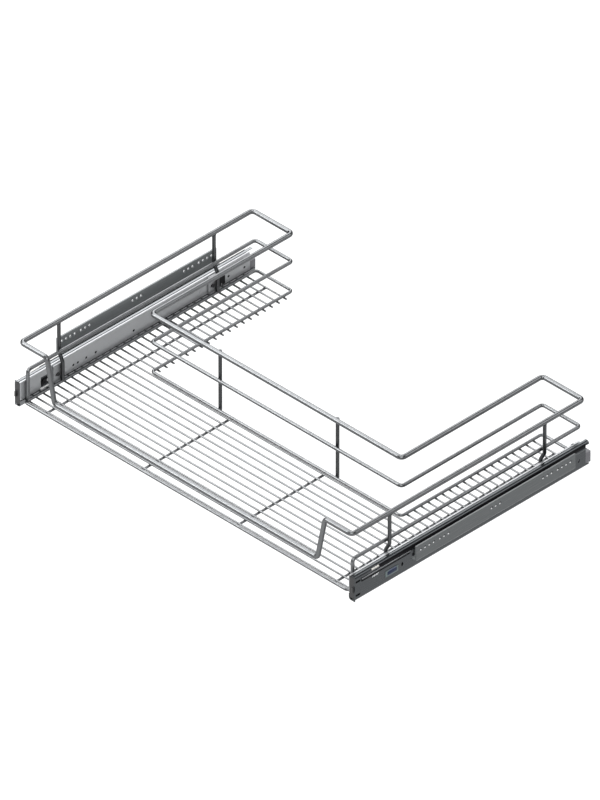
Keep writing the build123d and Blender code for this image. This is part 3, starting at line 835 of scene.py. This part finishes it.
@dataclass
class BallSlides:
    """The two ball bearing slides and the brackets that carry them."""

    rack: FinishRack
    # The holes of the carrier rails: their height, and their places from either end.
    hole_level: float = 23.0 * MM
    front_holes: tuple[float, ...] = (111.9 * MM, 121.4 * MM, 139.4 * MM, 159.4 * MM, 240.4 * MM)
    rear_holes: tuple[float, ...] = (56.6 * MM, 22.6 * MM)
    hole_radius: float = 2.25 * MM
    rim_width: float = 0.5 * MM
    rim_rise: float = 0.18 * MM
    # The black disc in each hole is painted shade: its depth in the hole and its thickness.
    back_depth: float = 0.5 * MM
    shade_thickness: float = 0.3 * MM
    # The plastic insert: its two ends from the front, its two faces from the web and its
    # lower and upper edge from the top.
    insert_ends: Pair = (35.7 * MM, 50.8 * MM)
    insert_faces: Pair = (2.2 * MM, 0.5 * MM)
    insert_edges: Pair = (4.2 * MM, 1.6 * MM)
    insert_ease: float = 0.4 * MM
    # The slanted bars in the web: their two ends above the member's foot and their run.
    grip_bars: int = 4
    grip_front: float = 35.7 * MM
    grip_pitch: float = 3.6 * MM
    grip_ends: Pair = (28.4 * MM, 31.2 * MM)
    grip_run: float = 2.6 * MM
    grip_radius: float = 0.55 * MM
    # The black strip round the member's upper corner: painted shade, where the corner looks dark.
    corner_radius: float = 5.0 * MM
    strip_rise: float = 0.12 * MM
    strip_front: float = 52.5 * MM
    strip_back: float = 8.8 * MM
    strip_turn: Pair = (math.radians(-12), math.radians(50))
    strip_steps: int = 10
    # The groups of screw holes in a bracket, with their number, and the painted glint, a bright dot
    # standing in for light seen through each hole.
    bracket_groups: tuple[tuple[float, int], ...] = (
        (-146.0 * MM, 4), (-110.0 * MM, 3), (0.0, 3), (110.0 * MM, 3), (146.0 * MM, 4))
    bracket_pitch: float = 9.0 * MM
    bracket_drop: float = 9.2 * MM
    burr_shift: float = 0.8 * MM
    burr: Radii = (0.3 * MM, 1.4 * MM, 1.2 * MM)
    # The painted highlight line and the painted shade line along the web: name, height over its
    # middle, radius and finish.
    marks: tuple[tuple[str, float, float, Finish], ...] = (
        ("painted_web_highlight", 13.9 * MM, 0.5 * MM, Finish.RIVET),
        ("painted_web_shade", 9.6 * MM, 0.55 * MM, Finish.STRIP))
    line_ends: Pair = (13.9 * MM, 117.0 * MM)
    line_rise: float = 0.12 * MM

    def dress(self) -> None:
        """Gives the profiles, cages, balls and fasteners their finishes."""
        # The left cabinet member and bracket wear lighter copies of the right ones' finishes:
        # painted light, as the left side stands in more light.
        self.rack.dress(cabinet_member_right=Finish.PROFILE,
                        cabinet_member_left=Finish.LIT_PROFILE,
                        mounting_bracket_right=Finish.BRACKET,
                        mounting_bracket_left=Finish.LIT_BRACKET,
                        bracket_rivets=Finish.FASTENER, lever_pivots=Finish.FASTENER,
                        striker_pins=Finish.FASTENER, carrier_rivets=Finish.RIVET,
                        lug_screws=Finish.SCREW)
        self.rack.pairs(middle_member=Finish.PROFILE, drawer_member=Finish.PROFILE,
                        carrier_rail=Finish.CARRIER, outer_cage=Finish.CAGE,
                        inner_cage=Finish.CAGE, outer_balls=Finish.BALL,
                        inner_balls=Finish.BALL)

    def rim_holes(self) -> None:
        """Adds the low punched rim of each hole of the carrier rails, and a black disc in each hole
        as painted shade.
        """
        for side in Side:
            carrier = Span.beside("carrier_rail", side)
            member = Span.beside("cabinet_member", side)
            holes = [carrier.low.y + shift for shift in self.front_holes]
            holes += [member.high.y - shift for shift in self.rear_holes]
            rims = MeshShop(f"hole_rims_{side.word}")
            shade_discs = MeshShop(f"hole_backs_{side.word}")
            inward = Vector((side.value, 0.0, 0.0))
            for y in holes:
                mouth = Vector((carrier.inner(side), y, self.hole_level))
                rims.ring(mouth, -inward, self.hole_radius, self.rim_width, self.rim_rise)
                shade_discs.tube([mouth + self.back_depth * inward,
                            mouth + (self.back_depth + self.shade_thickness) * inward],
                           self.hole_radius, sides=20)
            rims.finish(self.rack, Finish.RIVET, Body.DRAWER, Slot.CARRIER)
            shade_discs.finish(self.rack, Finish.STRIP, Body.DRAWER, Slot.STOP)

    def burr_brackets(self) -> None:
        """Adds a bright dot at the lower front of each screw hole of the brackets: a painted glint
        for light seen through the hole.
        """
        for side in Side:
            bracket = Span.beside("mounting_bracket", side)
            level = bracket.high.z - self.bracket_drop - self.burr_shift
            shop = MeshShop(f"bracket_burrs_{side.word}")
            for shift, count in self.bracket_groups:
                for index in range(count):
                    y = bracket.centre.y + shift + (index - (count - 1) / 2) * self.bracket_pitch
                    shop.bead(Vector((bracket.outer(side), y - self.burr_shift, level)), self.burr)
            shop.finish(self.rack, Finish.BURR, Body.CABINET, Slot.ZINC)

    def line_corners(self) -> None:
        """Lays a thin black strip of painted shade round the upper corner of each cabinet member.
        """
        steps = self.strip_steps
        low, high = self.strip_turn
        for side in Side:
            member = Span.beside("cabinet_member", side)
            x = member.outer(side) - side.value * self.corner_radius
            z = member.high.z - self.corner_radius
            section = []
            for radius, order in ((self.corner_radius + self.strip_rise, range(steps + 1)),
                                  (self.corner_radius - self.strip_rise, range(steps, -1, -1))):
                for step in order:
                    turn = low + (high - low) * step / steps
                    across = radius * math.cos(turn) if turn > 0 else radius
                    section.append((x + side.value * across, z + radius * math.sin(turn)))
            shop = MeshShop(f"corner_strip_{side.word}")
            shop.strip(section, member.low.y + self.strip_front, member.high.y - self.strip_back)
            shop.finish(self.rack, Finish.STRIP, Body.CABINET, Slot.STOP)

    def fill_slots(self) -> None:
        """Adds the plastic insert in the slot at the upper front corner of each member."""
        for side in Side:
            member = Span.beside("cabinet_member", side)
            corner, opposite = (
                Vector((member.outer(side) - side.value * depth, member.low.y + end,
                        member.high.z - drop))
                for depth, end, drop in zip(self.insert_faces, self.insert_ends,
                                            self.insert_edges))
            shop = MeshShop(f"corner_insert_{side.word}")
            shop.block(corner, opposite, self.insert_ease)
            shop.finish(self.rack, Finish.CATCH, Body.CABINET, Slot.CATCH)

    def line_webs(self) -> None:
        """Lays a painted highlight line and a painted shade line under it along each web near the
        front.
        """
        for side in Side:
            member = Span.beside("cabinet_member", side)
            for name, rise, radius, finish in self.marks:
                x = member.outer(side) - side.value * (radius - self.line_rise)
                z = member.centre.z + rise
                shop = MeshShop(f"{name}_{side.word}")
                shop.tube([Vector((x, member.low.y + end, z)) for end in self.line_ends],
                          radius, sides=12)
                shop.finish(self.rack, finish, Body.CABINET, Slot.ZINC)

    def press_grip(self) -> None:
        """Adds the small slanted bars pressed in each web near the front, painted bright as a
        painted highlight on them.
        """
        for side in Side:
            member = Span.beside("cabinet_member", side)
            web = member.outer(side)
            foot, head = (member.low.z + end for end in self.grip_ends)
            shop = MeshShop(f"grip_bars_{side.word}")
            for index in range(self.grip_bars):
                y = member.low.y + self.grip_front + index * self.grip_pitch
                shop.tube([Vector((web, y, foot)), Vector((web, y + self.grip_run, head))],
                          self.grip_radius, sides=8)
            shop.finish(self.rack, Finish.BURR, Body.CABINET, Slot.ZINC)


@dataclass
class SoftClose:
    """The soft-close units: housing, catch, damper and spring."""

    rack: FinishRack
    turns: int = 34
    steps_per_turn: int = 14
    wire: float = 0.35 * MM
    hook: float = 2.0 * MM
    # The striker's button: its place from the block's lower front corner and its size.
    button_front: float = 4.9 * MM
    button_level: float = 2.9 * MM
    button_radius: float = 1.3 * MM
    button_root: float = 0.3 * MM
    button_rise: float = 0.8 * MM

    def dress(self) -> None:
        """Gives the mouldings and the damper their finishes."""
        self.rack.pairs(softclose_housing=Finish.HOUSING, softclose_catch=Finish.CATCH,
                        softclose_damper=Finish.DAMPER, middle_stop=Finish.STOP,
                        striker_block=Finish.STRIKER)

    def button(self) -> None:
        """Adds the round button low on each striker block."""
        for side in Side:
            block = Span.beside("striker_block", side)
            face = block.inner(side)
            y = block.low.y + self.button_front
            z = block.low.z + self.button_level
            shop = MeshShop(f"striker_button_{side.word}")
            shop.tube([Vector((face + side.value * self.button_root, y, z)),
                       Vector((face - side.value * self.button_rise, y, z))],
                      self.button_radius, sides=24)
            shop.finish(self.rack, Finish.FASTENER, Body.DRAWER, Slot.ZINC)

    def spring_path(self, span: Span) -> list[Vector]:
        """The centre line of a closing spring, with a straight tail at each end.

        Args:
            span: the box that the spring fills.

        Returns:
            Its points from front to back.
        """
        radius = span.size.z / 2 - self.wire
        start = span.low.y + self.hook
        length = span.size.y - 2 * self.hook
        middle = span.centre
        points = [Vector((middle.x, span.low.y + self.wire, middle.z + radius))]
        count = self.turns * self.steps_per_turn
        for index in range(count + 1):
            turn = 2 * math.pi * index / self.steps_per_turn
            points.append(Vector((middle.x + radius * math.sin(turn),
                                  start + length * index / count,
                                  middle.z + radius * math.cos(turn))))
        points.append(Vector((middle.x, span.high.y - self.wire, middle.z + radius)))
        return points

    def wind(self) -> None:
        """Winds both closing springs."""
        for side in Side:
            node = f"softclose_spring_{side.word}"
            shop = MeshShop(f"closing_spring_{side.word}")
            shop.tube(self.spring_path(Span.of(node)), self.wire, sides=6)
            shop.finish(self.rack, Finish.SPRING, Body.CABINET, Slot.SPRING, [node])


@dataclass(frozen=True)
class Panel:
    """A panel on the face of a detent pad, measured from the pad's lower front corner."""

    name: str
    front: float
    back: float
    bottom: float
    top: float
    finish: Finish


@dataclass
class FrontFittings:
    """The buffers, release levers and detent pads near the front."""

    rack: FinishRack
    ease: float = 0.2 * MM
    # The finger ridges of a lever, from its lower front corner.
    ridges: int = 5
    ridge: float = 0.7 * MM
    ridge_front: float = 1.2 * MM
    ridge_rise: float = 0.35 * MM
    ridge_foot: float = 1.4 * MM
    ridge_head: float = 6.4 * MM
    # The sill under a lever's window: its length past the lever and its two edges.
    sill_depth: float = 1.9 * MM
    sill_front: float = 3.0 * MM
    sill_back: float = 0.8 * MM
    sill_foot: float = 0.2 * MM
    sill_head: float = 1.7 * MM
    panels: tuple[Panel, ...] = (
        Panel("detent_panel", 4.0 * MM, 24.0 * MM, 2.6 * MM, 8.8 * MM, Finish.INLAY),
        Panel("detent_tab", 8.0 * MM, 22.0 * MM, 9.2 * MM, 10.6 * MM, Finish.TAB))
    panel_rise: float = 0.25 * MM

    def dress(self) -> None:
        """Gives the mouldings their finishes."""
        self.rack.pairs(front_buffer=Finish.BUFFER, release_lever=Finish.LEVER,
                        detent_pad=Finish.DETENT)

    def grip(self) -> None:
        """Adds the finger ridges on each release lever."""
        for side in Side:
            lever = Span.beside("release_lever", side)
            face = lever.inner(side)
            first = lever.low.y + self.ridge_front
            shop = MeshShop(f"lever_ridges_{side.word}")
            for index in range(self.ridges):
                y = first + index * 2 * self.ridge
                shop.block(Vector((face - self.ridge_rise, y, lever.low.z + self.ridge_foot)),
                           Vector((face + self.ridge_rise, y + self.ridge,
                                   lever.low.z + self.ridge_head)), self.ease)
            shop.finish(self.rack, Finish.LEVER, Body.lever(side), Slot.LEVER)

    def sill(self) -> None:
        """Adds the ledge under each lever's window, painted white as a painted reflection of the
        bright surroundings.
        """
        for side in Side:
            lever = Span.beside("release_lever", side)
            carrier = Span.beside("carrier_rail", side)
            face = carrier.inner(side)
            shop = MeshShop(f"window_sill_{side.word}")
            shop.block(Vector((face, lever.low.y - self.sill_front,
                               carrier.low.z + self.sill_foot)),
                       Vector((face - side.value * self.sill_depth,
                               lever.high.y + self.sill_back, carrier.low.z + self.sill_head)),
                       self.ease)
            shop.finish(self.rack, Finish.SILL, Body.DRAWER, Slot.CATCH)

    def inlay(self) -> None:
        """Adds the dark panel and the pale tab on each detent pad."""
        for side in Side:
            pad = Span.beside("detent_pad", side)
            face = pad.outer(side)
            for panel in self.panels:
                shop = MeshShop(f"{panel.name}_{side.word}")
                shop.block(Vector((face - self.panel_rise, pad.low.y + panel.front,
                                   pad.low.z + panel.bottom)),
                           Vector((face + self.panel_rise, pad.low.y + panel.back,
                                   pad.low.z + panel.top)), self.ease)
                shop.finish(self.rack, panel.finish, Body.CABINET, Slot.DETENT)


@dataclass(frozen=True)
class Softbox:
    """A square softbox: the way to it from the drawer, its side and its power in watts."""

    name: str
    way: tuple[float, float, float]
    size: float
    power: float


@dataclass
class Studio:
    """The floor, the lights and the camera."""

    rack: FinishRack
    azimuth: float = math.radians(45)
    elevation: float = math.atan(1 / math.sqrt(2))
    picture_height: float = 1.2063
    middle: tuple[float, float, float] = (-0.00655, 0.0033, 0.059)
    lens: float = 1100.0
    sensor: float = 36.0
    near: float = 0.1
    floor_size: float = 24.0
    floor_drop: float = 0.35
    light_distance: float = 3.0
    softboxes: tuple[Softbox, ...] = (
        Softbox("top", (0.0, 0.0, 1.0), 1.4, 36),
        Softbox("left", (-0.58, 0.0, 0.8), 1.5, 38),
        Softbox("front_left", (-1.0, -1.0, 1.0), 1.5, 62),
        Softbox("back_left", (-1.0, 1.0, 1.0), 1.9, 54),
        Softbox("back_right", (1.0, 1.0, 1.0), 1.6, 21),
        Softbox("front_right", (1.0, -1.0, 1.0), 1.6, 44))
    # What the surroundings give the drawer, and what the camera sees of them.
    fill: float = 0.15
    fill_colour: Colour = (0.95, 0.975, 1.0)
    backdrop: float = 0.95
    backdrop_colour: Colour = (1.0, 1.0, 1.0)

    def floor(self) -> None:
        """Lays the floor under the drawer."""
        data = bpy.data.meshes.new("floor")
        half = self.floor_size / 2
        low = CAD_BOX[0][2] - self.floor_drop
        corners = [(-half, -half, low), (half, -half, low), (half, half, low), (-half, half, low)]
        data.from_pydata(corners, [], [(0, 1, 2, 3)])
        data.materials.append(self.rack.material(Finish.FLOOR))
        piece = place("floor", data)

    def light(self) -> None:
        """Hangs the softboxes, which all face the drawer."""
        for box in self.softboxes:
            data = bpy.data.lights.new(box.name, "AREA")
            data.shape = "SQUARE"
            data.size = box.size
            data.energy = box.power
            light = place(box.name, data)
            way = Vector(box.way).normalized()
            light.location = way * self.light_distance
            light.rotation_euler = way.to_track_quat("Z", "Y").to_euler()

    def surroundings(self) -> None:
        """Sets the even light from all round and the white that the camera sees behind."""
        world = bpy.data.worlds.new("studio")
        world.use_nodes = True
        tree = world.node_tree
        fill = tree.nodes["Background"]
        fill.inputs["Color"].default_value = (*self.fill_colour, 1.0)
        fill.inputs["Strength"].default_value = self.fill
        backdrop = tree.nodes.new("ShaderNodeBackground")
        backdrop.inputs["Color"].default_value = (*self.backdrop_colour, 1.0)
        backdrop.inputs["Strength"].default_value = self.backdrop
        rays = tree.nodes.new("ShaderNodeLightPath")
        mix = tree.nodes.new("ShaderNodeMixShader")
        tree.links.new(rays.outputs["Is Camera Ray"], mix.inputs["Fac"])
        tree.links.new(fill.outputs["Background"], mix.inputs[1])
        tree.links.new(backdrop.outputs["Background"], mix.inputs[2])
        tree.links.new(mix.outputs["Shader"], tree.nodes["World Output"].inputs["Surface"])
        bpy.context.scene.world = world
        bpy.context.scene.view_settings.view_transform = "Standard"

    def camera(self) -> None:
        """Sets the camera at the photograph's angle, far off so that parallels stay parallel."""
        data = bpy.data.cameras.new("camera")
        data.lens = self.lens
        data.sensor_fit = "VERTICAL"
        data.sensor_height = self.sensor
        distance = self.picture_height * self.lens / self.sensor
        data.clip_start = self.near
        data.clip_end = 2 * distance
        level = math.cos(self.elevation)
        back = Vector((math.sin(self.azimuth) * level, -math.cos(self.azimuth) * level,
                       math.sin(self.elevation)))
        camera = place("camera", data)
        camera.location = Vector(self.middle) + distance * back
        camera.rotation_euler = back.to_track_quat("Z", "Y").to_euler()
        bpy.context.scene.camera = camera

    def build(self) -> None:
        """Sets up the whole studio."""
        self.floor()
        self.light()
        self.surroundings()
        self.camera()


def main() -> None:
    """Dresses the drawer, piece by piece, and sets up the studio."""
    logging.basicConfig(level=logging.INFO, format="%(message)s")
    rack = FinishRack()
    basket = WireBasket(rack)
    basket.dress()
    basket.weld()
    slides = BallSlides(rack)
    slides.dress()
    slides.rim_holes()
    slides.burr_brackets()
    slides.line_corners()
    slides.fill_slots()
    slides.line_webs()
    slides.press_grip()
    soft_close = SoftClose(rack)
    soft_close.dress()
    soft_close.button()
    soft_close.wind()
    fittings = FrontFittings(rack)
    fittings.dress()
    fittings.grip()
    fittings.sill()
    fittings.inlay()
    Studio(rack).build()


if __name__ == "__main__":
    main()
